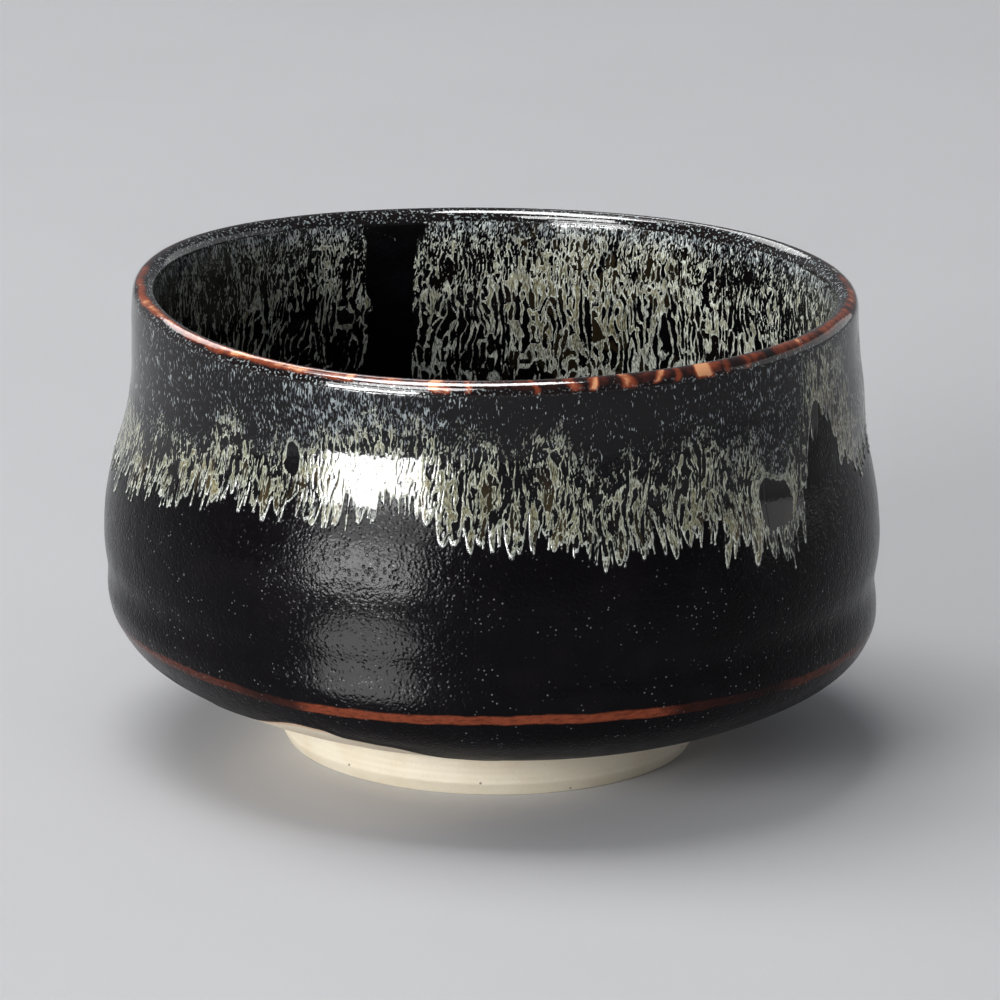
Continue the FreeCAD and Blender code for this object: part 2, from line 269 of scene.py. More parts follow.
class Section:
    """The glaze's surface in section, from near the foot over the lip to the well's middle."""

    def __init__(self):
        outer = exposed_profile("outer_black_glaze", OUTSIDE_EYE, 1)
        outer = outer[np.argsort(outer[:, 1])]
        lip_low, lip_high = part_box("lip_iron_glaze")
        clay_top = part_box("clay_body")[1][2]
        self.coat = lip_high[2] - clay_top
        lip_reach = lip_high[2] - lip_low[2]
        lip_centre = (lip_high[0] - lip_reach, lip_low[2])
        lip = exposed_profile("lip_iron_glaze", lip_centre, 1)
        lip = lip[np.argsort(np.arctan2(lip[:, 1] - lip_centre[1], lip[:, 0] - lip_centre[0]))]
        inner = exposed_profile("inner_black_glaze", INSIDE_EYE, -1)
        drop = lip_low[2] - inner[:, 1]
        inner = inner[np.argsort(np.arctan2(drop, inner[:, 0]))]
        points = thin_out(np.vstack([outer, lip, inner]), 0.15 * MM)
        points[-1, 0] = 0.0
        curve = smooth_curve(points, SECTION_STEP)
        reach = round(SECTION_EASE / SECTION_STEP)
        kernel = np.ones(2 * reach + 1) / (2 * reach + 1)
        for _ in range(3):
            for axis in (0, 1):
                curve[reach:-reach, axis] = np.convolve(curve[:, axis], kernel, "valid")
        self.radius, self.height = curve[:, 0], curve[:, 1]
        step = np.gradient(curve, axis=0)
        step /= np.hypot(step[:, 0], step[:, 1])[:, None]
        self.out, self.rise = step[:, 1], -step[:, 0]
        self.along = np.arange(len(curve)) * SECTION_STEP
        self.top = int(np.argmax(self.height))
        self.crest = self.along[self.top]
        self.outer_lip = self.along[np.argmin(np.hypot(*(curve - outer[-1]).T))]
        self.inner_lip = self.along[np.argmin(np.hypot(*(curve - inner[0]).T))]

    def at(self, along):
        """Radius, height and the two parts of the normal; straight on before the start."""
        before = np.minimum(along, 0.0)
        radius = np.interp(along, self.along, self.radius) - before * self.rise[0]
        height = np.interp(along, self.along, self.height) + before * self.out[0]
        return (radius, height, np.interp(along, self.along, self.out),
                np.interp(along, self.along, self.rise))

    def wall(self, height):
        """Radius of the outside at a height."""
        return np.interp(height, self.height[:self.top], self.radius[:self.top])

    def outside(self, height):
        """Distance along the section at which the outside has the given height."""
        return np.interp(height, self.height[:self.top], self.along[:self.top])


def thrown(turn, radius, height):
    """Move turned points the way the potter's hands left them."""
    rim = sum(c * np.cos(n * turn) + s * np.sin(n * turn) for n, c, s in RIM_WAVES) * MM
    rim = rim * smooth_step(40 * MM, 73 * MM, height)
    hip = smooth_step(3 * MM, 7.5 * MM, height) * (1 - smooth_step(13 * MM, 27 * MM, height))
    full = 0.7 * bump_at(19 * MM, 4 * MM, height) + 0.55 * bump_at(58 * MM, 5 * MM, height)
    swell = full * MM * np.cos(turn)
    tilt = 0.5 * MM * hip * np.cos(turn) * np.minimum(radius / (45 * MM), 1.0)
    return radius + swell, height + rim - tilt


def shoulder(height):
    """How the wall strays at the front left, in mm: a flatter shoulder under a crisp edge."""
    top = smooth_step(73, 65, height)
    eased = -0.20 * smooth_step(39.0, 45.5, height) - 0.36 * smooth_step(42, 62, height)
    return eased * top + 0.14 * bump_at(57.3, 1.8, height) - 0.16 * bump_at(62.8, 1.8, height)


def surface(turn, along, lift):
    """Points at a distance lift outside the glaze's surface."""
    turn, along, lift = np.broadcast_arrays(turn, along, lift)
    radius, height, out, rise = section.at(along)
    outside = 1.0 - smooth_step(section.crest - 8 * MM, section.crest, along)
    inside = smooth_step(section.crest, section.crest + 8 * MM, along)
    ridge = np.sin(FULL_TURN * along / RIDGE_PITCH + turn + 0.8 * np.sin(2 * turn))
    ridge = ridge + 0.4 * np.sin(FULL_TURN * along / (0.47 * RIDGE_PITCH) - turn)
    dent = np.sin(3 * turn + 300 * height) * np.cos(2 * turn - 150 * height + 1.0)
    wall = smooth_step(9 * MM, 20 * MM, height)
    calm = smooth_step(0.0, 12 * MM, radius)
    relief = (RIDGE_DEPTH * ridge + DENT_DEPTH * dent) * wall * (outside + 0.7 * inside) * calm
    crease = height - round_table(BREAK_HEIGHT, turn) * MM
    relief = relief + 0.12 * MM * outside * bump_at(0.0, 0.9 * MM, crease)
    front = bump_at(0.0, 30.0, angle_between(turn, -108.0)) * outside
    raised = 2.6 * MM * front * smooth_step(33 * MM, 41 * MM, height) * smooth_step(
        68 * MM, 58 * MM, height)
    radius = radius + section.wall(height - raised) - section.wall(height)
    radius = radius + MM * front * shoulder(height / MM)
    radius = radius + out * (lift + relief)
    height = height + rise * (lift + relief)
    radius, height = thrown(turn, np.maximum(radius, 0.0), height)
    return np.stack([radius * np.cos(turn), radius * np.sin(turn), height], axis=-1)


# ---- meshes

def strip_faces(first, second):
    """Quads between two equal runs of vertex numbers."""
    return np.stack([first[:-1], first[1:], second[1:], second[:-1]], axis=1)


def grid_faces(numbers):
    """Quads of a grid of vertex numbers, facing the way the section's normal does."""
    return np.stack([numbers[:-1, :-1], numbers[:-1, 1:], numbers[1:, 1:], numbers[1:, :-1]],
                    axis=-1).reshape(-1, 4)


def make_object(name, points, faces, smooth, attributes, node, material, walls=()):
    """A mesh object that rides on the bowl and stands for a CAD node.

    Faces are quads, of which the first ones are smooth; walls are further polygons with any
    number of corners. An attribute is 0 on the points past its own values."""
    corners = np.concatenate([faces.ravel(), *walls]).astype(np.int32)
    counts = np.concatenate([np.full(len(faces), 4), [len(wall) for wall in walls]])
    starts = (np.cumsum(counts) - counts).astype(np.int32)
    mesh = bpy.data.meshes.new(name)
    mesh.vertices.add(len(points))
    mesh.vertices.foreach_set("co", points.astype(np.float32).ravel())
    mesh.loops.add(len(corners))
    mesh.loops.foreach_set("vertex_index", corners)
    mesh.polygons.add(len(starts))
    mesh.polygons.foreach_set("loop_start", starts)
    mesh.update(calc_edges=True)
    mesh.polygons.foreach_set("use_smooth", np.arange(len(starts)) < smooth)
    mesh.validate()
    for key, values in attributes.items():
        padded = np.zeros(len(points), dtype=np.float32)
        padded[:values.size] = values.ravel()
        mesh.attributes.new(key, "FLOAT", "POINT").data.foreach_set("value", padded)
    mesh.materials.append(material)
    piece = bpy.data.objects.new(name, mesh)
    bpy.context.scene.collection.objects.link(piece)
    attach(piece, "root")
    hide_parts(node)


def side_walls(upper, lower, below):
    """Polygons that close one end of a sector, whose lower skin has fewer rows."""
    walls = []
    for first, second, low, high in zip(below[:-1], below[1:], lower[:-1], lower[1:]):
        walls.append(np.concatenate([upper[first:second + 1], [high, low]]))
    return walls


def make_shell(name, top, bottom, attributes, node, material, capped=False, below=None):
    """A closed shell between two grids of points (rows, columns, 3).

    It goes round the whole bowl, or is a sector whose lower skin has only the rows listed in
    below. Its last rows are joined by a wall, or each is filled with a cap."""
    upper = np.arange(top.size // 3).reshape(top.shape[:2])
    lower = np.arange(bottom.size // 3).reshape(bottom.shape[:2]) + upper.size
    walls = []
    if below is None:
        upper, lower = (np.hstack([grid, grid[:, :1]]) for grid in (upper, lower))
    else:
        walls = side_walls(upper[:, 0], lower[:, 0], below)
        walls += [wall[::-1] for wall in side_walls(upper[:, -1], lower[:, -1], below)]
    skins = np.vstack([grid_faces(upper), grid_faces(lower)[:, ::-1]])
    rims = strip_faces(lower[0], upper[0])
    if capped:
        walls += [upper[-1, :-1], lower[-1, :-1][::-1]]
    else:
        rims = np.vstack([rims, strip_faces(upper[-1], lower[-1])])
    points = np.vstack([top.reshape(-1, 3), bottom.reshape(-1, 3)])
    make_object(name, points, np.vstack([skins, rims]), len(skins), attributes, node,
                material, walls)


def coarse_rows(rows, step):
    """Numbers of every step-th row, and of the last one."""
    return np.unique(np.append(np.arange(0, rows, step), rows - 1))


def turns(columns):
    """Directions of a ring's columns in radians, as one row."""
    return np.arange(columns)[None, :] * FULL_TURN / columns


# ---- materials

class Nodes:
    """Short names for building one material's node tree."""

    def __init__(self, name):
        self.material = bpy.data.materials.new(name)
        self.material.use_nodes = True
        self.tree = self.material.node_tree
        self.tree.nodes.clear()
        self.output = self.add("ShaderNodeOutputMaterial")
        self.shader = self.add("ShaderNodeBsdfPrincipled")
        self.tree.links.new(self.shader.outputs[0], self.output.inputs["Surface"])
        self.place = self.add("ShaderNodeTexCoord").outputs["Object"]

    def add(self, kind, **settings):
        node = self.tree.nodes.new(kind)
        for key, value in settings.items():
            setattr(node, key, value)
        return node

    def feed(self, socket, value):
        """Link a socket or set a constant."""
        if isinstance(value, bpy.types.NodeSocket):
            self.tree.links.new(value, socket)
        elif isinstance(value, tuple) and len(value) == 3 and socket.type == "RGBA":
            socket.default_value = (*value, 1.0)
        else:
            socket.default_value = value

    def attribute(self, name):
        return self.add("ShaderNodeAttribute", attribute_name=name).outputs["Fac"]

    def math(self, operation, *values):
        node = self.add("ShaderNodeMath", operation=operation)
        for socket, value in zip(node.inputs, values):
            self.feed(socket, value)
        return node.outputs[0]

    def times(self, first, second):
        return self.math("MULTIPLY", first, second)

    def plus(self, first, second):
        return self.math("ADD", first, second)

    def centred(self, noise, amount):
        """Noise of 0..1 shifted to lie round 0 and scaled."""
        return self.times(self.plus(noise, -0.5), amount)

    def ramp(self, value, low, high, to_low=0.0, to_high=1.0):
        """Map low..high smoothly to to_low..to_high."""
        node = self.add("ShaderNodeMapRange", interpolation_type="SMOOTHSTEP")
        for key, number in (("Value", value), ("From Min", low), ("From Max", high),
                            ("To Min", to_low), ("To Max", to_high)):
            self.feed(node.inputs[key], number)
        return node.outputs[0]

    def mix(self, part, first, second):
        """The first colour where part is 0, the second where it is 1."""
        node = self.add("ShaderNodeMix", data_type="RGBA")
        part_socket, first_socket, second_socket = (node.inputs[i] for i in (0, 6, 7))
        self.feed(part_socket, part)
        self.feed(first_socket, first)
        self.feed(second_socket, second)
        return node.outputs[2]

    def texture(self, kind, size, stretch=None, **values):
        """A texture with features of the given size in metres; stretch scales the place."""
        node = self.add(kind)
        place = self.place
        if stretch:
            scaled = self.add("ShaderNodeVectorMath", operation="MULTIPLY")
            self.feed(scaled.inputs[0], place)
            scaled.inputs[1].default_value = stretch
            place = scaled.outputs[0]
        self.feed(node.inputs["Vector"], place)
        node.inputs["Scale"].default_value = 1.0 / size
        for key, value in values.items():
            node.inputs[key].default_value = value
        return node

    def noise(self, size, detail=2.0, roughness=0.5, stretch=None):
        values = {"Detail": detail, "Roughness": roughness}
        return self.texture("ShaderNodeTexNoise", size, stretch, **values).outputs["Fac"]

    def grains(self, size):
        """Distance to scattered points spaced by the given size."""
        return self.texture("ShaderNodeTexVoronoi", size).outputs["Distance"]

    def bump(self, height, depth, below=None):
        """A normal from a height of 0..1 that stands for the given depth, over another."""
        node = self.add("ShaderNodeBump")
        self.feed(node.inputs["Height"], height)
        node.inputs["Distance"].default_value = depth
        node.inputs["Strength"].default_value = 1.0
        if below is not None:
            self.feed(node.inputs["Normal"], below)
        return node.outputs[0]

    def finish(self, colour, roughness, normal, shine):
        """Feed the shader; shine scales how much the surface mirrors head-on."""
        inputs = {"Base Color": colour, "Roughness": roughness, "Normal": normal}
        for key, value in inputs.items():
            self.feed(self.shader.inputs[key], value)
        self.shader.inputs["IOR"].default_value = 1.5
        self.shader.inputs["Specular IOR Level"].default_value = shine
        return self.material


def orange_peel(nodes, depth, size=0.75 * MM):
    """The fine dimples of a thick glaze, as a normal."""
    peel = nodes.noise(size, detail=1.5, roughness=0.45)
    slow = nodes.noise(6 * size, detail=1.0)
    return nodes.bump(peel, depth, nodes.bump(slow, 2.0 * depth))


def pitted(nodes):
    """Pinhole dimples and a fine peel, as a normal."""
    pits = nodes.ramp(nodes.grains(0.80 * MM), 0.05, 0.50)
    fine = nodes.noise(0.45 * MM, detail=1.0)
    slow = nodes.bump(nodes.noise(3.5 * MM, detail=1.0), 0.10 * MM)
    return nodes.bump(pits, 0.044 * MM, nodes.bump(fine, 0.050 * MM, slow))


def black_glaze(name, break_line):
    """Glossy black glaze; outside it breaks to rust on the hip and near its lower edge."""
    nodes = Nodes(name)
    cloud = nodes.noise(9 * MM, detail=3.0)
    colour = nodes.mix(nodes.ramp(cloud, 0.45, 0.75), BLACK, BLACK_CLOUD)
    if break_line:
        # Sparse pale specks: partly crystal specks in the glaze, partly painted glints standing
        # in for light caught in its pits.
        speck = nodes.ramp(nodes.grains(0.95 * MM), 0.18, 0.09)
        sparse = nodes.ramp(nodes.noise(5 * MM), 0.47, 0.62)
        speck = nodes.times(nodes.times(speck, sparse), 0.65)
        colour = nodes.mix(speck, colour, SPECK_AND_GLINT)
        wobble = nodes.noise(5 * MM, detail=3.0)
        height = nodes.plus(nodes.attribute("above_break"), nodes.times(wobble, 0.9))
        core = nodes.ramp(nodes.math("ABSOLUTE", nodes.plus(height, -0.45)), 0.95, 0.55)
        streak = nodes.noise(1.2 * MM, detail=3.0, stretch=(1, 1, 4))
        streak = nodes.ramp(streak, 0.3, 0.6, 0.55, 1.0)
        amount = nodes.times(nodes.times(core, nodes.attribute("break_line")), streak)
        amount = nodes.math("MAXIMUM", amount, nodes.attribute("thin_edge"))
        rust = nodes.mix(nodes.noise(1.5 * MM, detail=4.0), RUST, RUST_DARK)
        colour = nodes.mix(amount, colour, rust)
    roughness = nodes.ramp(nodes.noise(3 * MM, detail=3.0), 0.3, 0.8, 0.15, 0.22)
    if break_line:
        satin = nodes.ramp(nodes.attribute("above_break"), -1.0, -7.0, 0.0, 0.24)
        roughness = nodes.plus(roughness, satin)
    return nodes.finish(colour, roughness, pitted(nodes), 0.065)


def running_glaze(name, strand_middle, strand_edge):
    """Black glaze with pale strands that ran in it, painted on the mesh as attributes."""
    nodes = Nodes(name)
    fine = nodes.noise(0.28 * MM, detail=2.0, stretch=(1, 1, 0.5))
    thick = nodes.plus(nodes.attribute("pale"), nodes.centred(fine, 0.55))
    pale = nodes.ramp(thick, 0.36, 0.64)
    hair = nodes.noise(0.20 * MM, detail=2.0, stretch=(1, 1, 0.22))
    dash = nodes.noise(0.24 * MM, detail=1.0, stretch=(1, 1, 0.28))
    cluster = nodes.noise(1.6 * MM)
    dash = nodes.plus(dash, nodes.centred(cluster, 0.30))
    dash = nodes.plus(dash, nodes.times(nodes.plus(nodes.attribute("speckle"), -1.0), 0.20))
    dash = nodes.ramp(dash, 0.54, 0.61)
    strand = nodes.mix(nodes.attribute("tone"), strand_middle, OCHRE)
    strand = nodes.mix(nodes.ramp(thick, 0.70, 1.05), strand_edge, strand)
    strand = nodes.mix(nodes.attribute("frost"), strand, FROST)
    film = nodes.mix(nodes.times(nodes.attribute("core"), 0.8), BLACK, FILM_BROWN)
    dust = nodes.mix(nodes.ramp(cluster, 0.4, 0.65), DUST_DARK, DUST_PALE)
    colour = nodes.mix(nodes.times(dash, 0.85), film, dust)
    share = nodes.times(nodes.attribute("strength"), nodes.ramp(hair, 0.36, 0.56, 0.20, 1.0))
    colour = nodes.mix(nodes.times(pale, share), colour, strand)
    roughness = nodes.ramp(pale, 0.0, 1.0, 0.09, 0.13)
    return nodes.finish(colour, roughness, orange_peel(nodes, 0.020 * MM, 0.6 * MM), 0.28)


def iron_lip(name):
    """The lip: rust to orange where thin, dark brown between, black at the back."""
    nodes = Nodes(name)
    blotch = nodes.noise(1.3 * MM, detail=4.0, roughness=0.6)
    rust = nodes.plus(nodes.attribute("rust"), nodes.centred(blotch, 0.9))
    fine = nodes.noise(0.35 * MM)
    warm = nodes.mix(nodes.ramp(rust, 0.25, 0.95), LIP_DARK_RUST, LIP_RED)
    warm = nodes.mix(nodes.ramp(rust, 0.85, 1.35), warm, LIP_ORANGE)
    dark = nodes.mix(nodes.ramp(nodes.attribute("rust"), 0.0, 0.25), LIP_BLACK, LIP_BROWN)
    colour = nodes.mix(nodes.ramp(rust, 0.15, 0.45), dark, warm)
    white = nodes.plus(nodes.attribute("white"), nodes.centred(fine, 1.2))
    colour = nodes.mix(nodes.ramp(white, 0.45, 0.75, 0.0, 0.85), colour, LIP_THREAD)
    dots = nodes.ramp(nodes.noise(0.46 * MM), 0.58, 0.63)
    dots = nodes.times(dots, nodes.attribute("speckle"))
    colour = nodes.mix(nodes.times(dots, 0.8), colour, LIP_DOT)
    roughness = nodes.ramp(fine, 0.3, 0.8, 0.05, 0.10)
    return nodes.finish(colour, roughness, orange_peel(nodes, 0.02 * MM), 0.32)


def bare_clay(name):
    """Matt cream stoneware with fine grog, tiny iron specks and a warm flash."""
    nodes = Nodes(name)
    cloud = nodes.noise(7 * MM, detail=4.0)
    colour = nodes.mix(nodes.ramp(cloud, 0.35, 0.8), CLAY, CLAY_WARM)
    colour = nodes.mix(nodes.attribute("flash"), colour, CLAY_FLASH)
    grain = nodes.noise(0.35 * MM, detail=3.0)
    colour = nodes.mix(nodes.ramp(grain, 0.55, 0.8, 0.0, 0.35), colour, CLAY_GRAIN)
    speck = nodes.ramp(nodes.grains(3.1 * MM), 0.085, 0.05)
    colour = nodes.mix(nodes.times(speck, 0.75), colour, CLAY_SPECK)
    rough = nodes.bump(grain, 0.05 * MM)
    return nodes.finish(colour, nodes.ramp(grain, 0.3, 0.8, 0.62, 0.8), rough, 0.3)


# ---- runs of glaze

def drawn_cells(rng, grid, width, length, warp):
    """Cells drawn out downhill, with sizes in mm, as a table of fields: gap from the seam in
    cell widths, level in the cell (-0.5 at its top to 0.5), upright (1 where the seam runs
    downhill) and number (random, one for each cell)."""
    across = round(grid.columns * grid.cell / (width * MM))
    down = int(grid.rows * grid.row_cell / (length * MM)) + 4
    jitter = rng.uniform(-0.48, 0.48, (2, down, across))
    number = rng.uniform(0.0, 1.0, (down, across))
    coarse = [grid.noise(rng, 0.6 * length, width) for _ in range(2)]
    fine = [grid.noise(rng, 0.16 * length, 0.35 * width) for _ in range(2)]
    u = np.arange(grid.columns)[None, :] * across / grid.columns
    v = np.arange(grid.rows)[:, None] * grid.row_cell / (length * MM) + 1.5
    u = u + warp * (coarse[0] + 0.35 * fine[0])
    v = v + warp * (coarse[1] + 0.35 * fine[1])
    cells = []
    for step_down in (-1, 0, 1):
        row = np.clip(np.floor(v).astype(int) + step_down, 0, down - 1)
        for step_across in (-1, 0, 1):
            column = np.floor(u).astype(int) + step_across
            wrapped = column % across
            cells.append((column + 0.5 + jitter[0, row, wrapped] - u,
                          row + 0.5 + jitter[1, row, wrapped] - v, number[row, wrapped]))
    cells = np.array(cells)
    distance = np.hypot(cells[:, 0], cells[:, 1])
    order = np.argsort(distance, axis=0, kind="stable")[:2]
    nearest, second = np.take_along_axis(distance, order, axis=0)
    near, following = np.take_along_axis(cells, order[:, None], axis=0)
    sideways, downhill = np.abs(following - near)[:2]
    return {"gap": second - nearest, "level": -near[1], "number": near[2],
            "upright": sideways / (sideways + downhill + 1e-6)}


def tongues(rng, grid, edge, spacing, half_width, stray, length):
    """The depth of a fringe of tongues round the bowl, with their tips (column, depth)."""
    count = int(grid.columns * grid.cell / spacing)
    place = (np.arange(count) + rng.uniform(-0.45, 0.45, count)) * grid.columns / count
    tip = edge[0, place.astype(int) % grid.columns] + rng.normal(0.0, stray, count)
    wide = rng.uniform(*half_width, count)
    fringe = np.full(grid.columns, -1.0)
    for middle, depth, half in zip(place, tip, wide):
        reach = int(1.8 * half / grid.cell) + 1
        near = np.arange(int(middle) - reach, int(middle) + reach + 1)
        outline = depth - length * (np.abs(near - middle) * grid.cell / half) ** 2.4
        near = near % grid.columns
        fringe[near] = np.maximum(fringe[near], outline)
    return fringe, place, tip


class Grid:
    """The cells that one side's running glaze is painted on; row 0 is at the lip."""

    def __init__(self, columns, rows, length):
        self.columns, self.rows = columns, rows
        self.cell = FULL_TURN * 59 * MM / columns
        self.row_cell = length / (rows - 1)
        self.turn = turns(columns)
        self.depth = np.arange(rows)[:, None] * self.row_cell

    def noise(self, rng, down, across):
        """Smooth noise with the given sizes in millimetres."""
        return soft_noise(rng, (self.rows, self.columns), down * MM / self.row_cell,
                          across * MM / self.cell)

    def meander(self, rng, fields, amount, size):
        """Shift all fields sideways together, so that straight runs wander."""
        shift = self.noise(rng, size, 0.7 * size) * amount * MM / self.cell
        rows = np.arange(self.rows)[:, None]
        place = np.arange(self.columns)[None, :] + shift
        low = np.floor(place).astype(int)
        part = place - low
        low %= self.columns
        high = (low + 1) % self.columns
        return {key: field[rows, low] * (1 - part) + field[rows, high] * part
                for key, field in fields.items()}


def stamp_beads(rng, grid, field, place, tip, radius):
    """Drops of thick glaze at the tips."""
    for column, depth in zip(place, tip):
        size = radius * rng.uniform(0.6, 1.2)
        across = int(3 * size / grid.cell)
        down = int(3.5 * size / grid.row_cell)
        row = int(depth / grid.row_cell)
        rows = np.arange(max(row - down, 0), min(row + down + 1, grid.rows))
        columns = np.arange(int(column) - across, int(column) + across + 1)
        if len(rows) == 0:
            continue
        low = (rows * grid.row_cell - depth + 0.6 * size) / (1.3 * size)
        beside = (columns - column) * grid.cell / size
        drop = np.exp(-(low ** 2)[:, None] - (beside ** 2)[None, :])
        block = np.ix_(rows, columns % grid.columns)
        field[block] = np.maximum(field[block], drop * rng.uniform(0.5, 1.0))


def seams(cells, thickness):
    """Pale seams and their darker middles. They are thickest in the arch over a cell, and
    those that run across the slope are mostly broken."""
    arch = smooth_step(0.1, -0.35, cells["level"])
    limit = thickness * (0.70 + 0.9 * arch)
    whole = smooth_step(0.30, 0.50, cells["upright"] + 0.35 * arch * (cells["number"] > 0.45))
    limit = np.clip(limit, 0.004, 1.0)
    return (smooth_step(1.0, 0.55, cells["gap"] / limit) * whole,
            smooth_step(0.5, 0.1, cells["gap"] / limit) * smooth_step(0.2, 0.4, limit))


def blend_seams(layers, breaks):
    """Lay the seams of several sizes of cell over each other by their shares."""
    pale, tone = 0.0, 0.0
    for cells, share, thickness in layers:
        line, middle = seams(cells, thickness)
        pale = np.maximum(pale, line * smooth_step(0.0, 0.5, share))
        tone = np.maximum(tone, middle * share)
    return pale * breaks, tone


def paint_outside(grid):
    """The running glaze outside: fine dashes, then strands, then tongues with white tips."""
    rng = np.random.default_rng(11)
    turn, depth = grid.turn, grid.depth
    edge = section.outer_lip - section.outside(round_table(DRIP_EDGE, turn) * MM)
    sway = ring_noise(rng, grid.columns, 2.5 * MM / grid.cell)
    edge = edge + 0.5 * MM * sway
    wide, place, tip = tongues(rng, grid, edge, 2.0 * MM, (0.45 * MM, 1.2 * MM), 1.2 * MM,
                               3.2 * MM)
    thin, place_thin, tip_thin = tongues(rng, grid, edge - 0.9 * MM, 1.1 * MM,
                                         (0.14 * MM, 0.34 * MM), 1.3 * MM, 2.2 * MM)
    notches = edge - (3.6 + 1.1 * ring_noise(rng, grid.columns, 7)) * MM
    fringe = np.maximum(np.maximum(wide, thin), notches)
    steep = np.hypot(1.0, np.gradient(fringe[0]) / grid.cell)[None, :]
    inset = (fringe - depth) / steep
    film = smooth_step(-0.08 * MM, 0.12 * MM, inset)
    outline = bump_at(0.12 * MM, 0.14 * MM, inset) * smooth_step(
        2.6 * MM, 0.6 * MM, fringe - depth)

    above = (edge - depth) / MM + 1.3 * grid.noise(rng, 3.0, 1.6)
    share = round_table(STRAND_SHARE, turn)
    above = above / share
    patch = grid.noise(rng, 2.5, 2.5)
    quick = grid.noise(rng, 0.5, 0.35)
    fill = np.clip(0.25 * share + 0.06 * patch + 0.09 * quick, 0.02, 0.7)
    big, middle, small = [drawn_cells(rng, grid, *size) for size in CELLS_OUTSIDE]
    low = smooth_step(12.5, 7.5, above)
    high = smooth_step(12.0, 16.5, above)
    between = np.clip(1.0 - low - high, 0.0, 1.0)
    breaks = smooth_step(-1.5, -0.2, grid.noise(rng, 0.9, 0.4) + 1.0 - 1.3 * high)
    pale, tone = blend_seams(((big, low, fill), (middle, np.maximum(between, 0.6 * low), fill),
                              (small, high, fill)), breaks)
    fade = smooth_step(21.0, 15.5, above)
    dust = round_table(DUST, turn)
    beads = np.zeros_like(patch)
    stamp_beads(rng, grid, beads, place, tip, 0.26 * MM)
    stamp_beads(rng, grid, beads, place_thin, tip_thin, 0.20 * MM)
    ochre = smooth_step(10.0, 4.0, above) * smooth_step(0.55, 0.8, big["number"])
    fields = {
        "pale": np.maximum(np.maximum(pale * fade, outline) * film,
                           smooth_step(0.25, 0.6, beads)),
        "tone": np.clip(0.6 * tone + 0.12 * patch + 0.5 * ochre * (quick > 0), 0.0, 1.0),
        "frost": np.maximum(np.maximum(beads, 0.45 * outline), 0.2 * smooth_step(12, 18, above)),
        "core": film * np.clip(ochre * (0.6 + 0.3 * patch), 0.0, 1.0),
        "strength": np.clip(0.85 + 0.10 * patch + 0.15 * quick, 0.3, 1.0) * (
            1 - high * (0.75 - 0.30 * dust)),
        "speckle": smooth_step(9.5, 16.0, above) * film * dust,
        "beads": beads,
    }
    clear = np.ones_like(patch)
    for degrees, height, half_turn, half_height in BARE_OUTSIDE:
        spot = section.outer_lip - section.outside(np.array(height * MM))
        across = angle_between(turn, degrees) / half_turn
        down = (depth - spot) / (half_height * MM)
        away = (np.abs(across) ** 3 + np.abs(down) ** 3) ** (1 / 3) + 0.10 * grid.noise(
            rng, 1.5, 0.6)
        clear = clear * smooth_step(0.85, 1.0, away)
        arch = bump_at(1.08, 0.10, away) * smooth_step(0.5, -0.2, down)
        fields["pale"] = np.maximum(fields["pale"], 0.9 * arch * film)
    fields["pale"] *= clear
    fields["speckle"] *= clear
    fields["cover"] = np.maximum(film, fields["pale"])
    return grid.meander(rng, fields, 0.28, 3.0)


def paint_inside(grid):
    """The running glaze inside, with a bare stripe from the rim down."""
    rng = np.random.default_rng(23)
    turn, depth = grid.turn, grid.depth
    edge = (38 + 2 * np.sin(3 * turn + 1.0) + 2 * np.sin(7 * turn)) * MM
    fringe = tongues(rng, grid, edge, 2.0 * MM, (0.5 * MM, 1.3 * MM), 2.0 * MM, 6.0 * MM)[0]
    fringe = np.maximum(fringe, edge - 8 * MM)
    film = smooth_step(-0.3 * MM, 0.3 * MM, fringe - depth)
    cover = round_table(INSIDE_COVER, turn)
    patch = grid.noise(rng, 3.0, 2.5)
    quick = grid.noise(rng, 0.6, 0.35)
    fill = np.clip(0.46 * cover + 0.07 * patch + 0.09 * quick, 0.02, 0.9)
    big, middle, small = [drawn_cells(rng, grid, *size) for size in CELLS_INSIDE]
    fall = depth / MM + 1.3 * grid.noise(rng, 3.0, 2.0)
    high = smooth_step(6.5, 3.5, fall)
    low = smooth_step(8.0, 15.0, fall)
    between = np.clip(1.0 - low - high, 0.0, 1.0)
    # Painted brightening: deeper in the bowl the strands are filled more, to make up for the
    # shade that falls there.
    fill = fill * (1.0 + 0.22 * low)
    breaks = smooth_step(-1.5, -0.2, grid.noise(rng, 1.1, 0.4) + 0.3 + 1.6 * cover)
    rim_fill = np.clip(0.12 + 0.28 * cover + 0.05 * patch + 0.09 * quick, 0.02, 0.6)
    pale, tone = blend_seams(((big, low, fill), (middle, between, fill),
                              (small, high, rim_fill)), breaks)
    stripe = np.abs(angle_between(turn, BARE_STRIPE[0])) + 0.45 * grid.noise(rng, 1.5, 0.8)
    clear = smooth_step(BARE_STRIPE[1], BARE_STRIPE[1] + 0.5, stripe)
    thinning = smooth_step(42.0, 16.0, fall + 12.0 * (0.9 - cover))
    faint = np.clip(1.15 * cover + 0.25, 0.45, 1.0)
    fields = {
        "pale": pale * film * clear * (0.3 + 0.7 * thinning),
        "tone": np.clip(round_table(INSIDE_TONE, turn) + 0.4 * tone + 0.12 * patch,
                        0.0, 1.0),
        "frost": np.broadcast_to(0.8 * smooth_step(4.0, 1.0, depth / MM), patch.shape),
        "core": film * clear * np.clip(0.6 * cover - 0.35, 0.0, 1.0) * (big["number"] > 0.5),
        "strength": np.clip(0.88 + 0.10 * patch + 0.15 * quick, 0.3, 1.0) * faint,
        "speckle": smooth_step(7.0, 1.0, depth / MM) * clear,
        "beads": np.zeros_like(patch),
    }
    fields["cover"] = np.maximum(film * clear, fields["pale"])
    return grid.meander(rng, fields, 0.25, 3.5)


# ---- the pieces

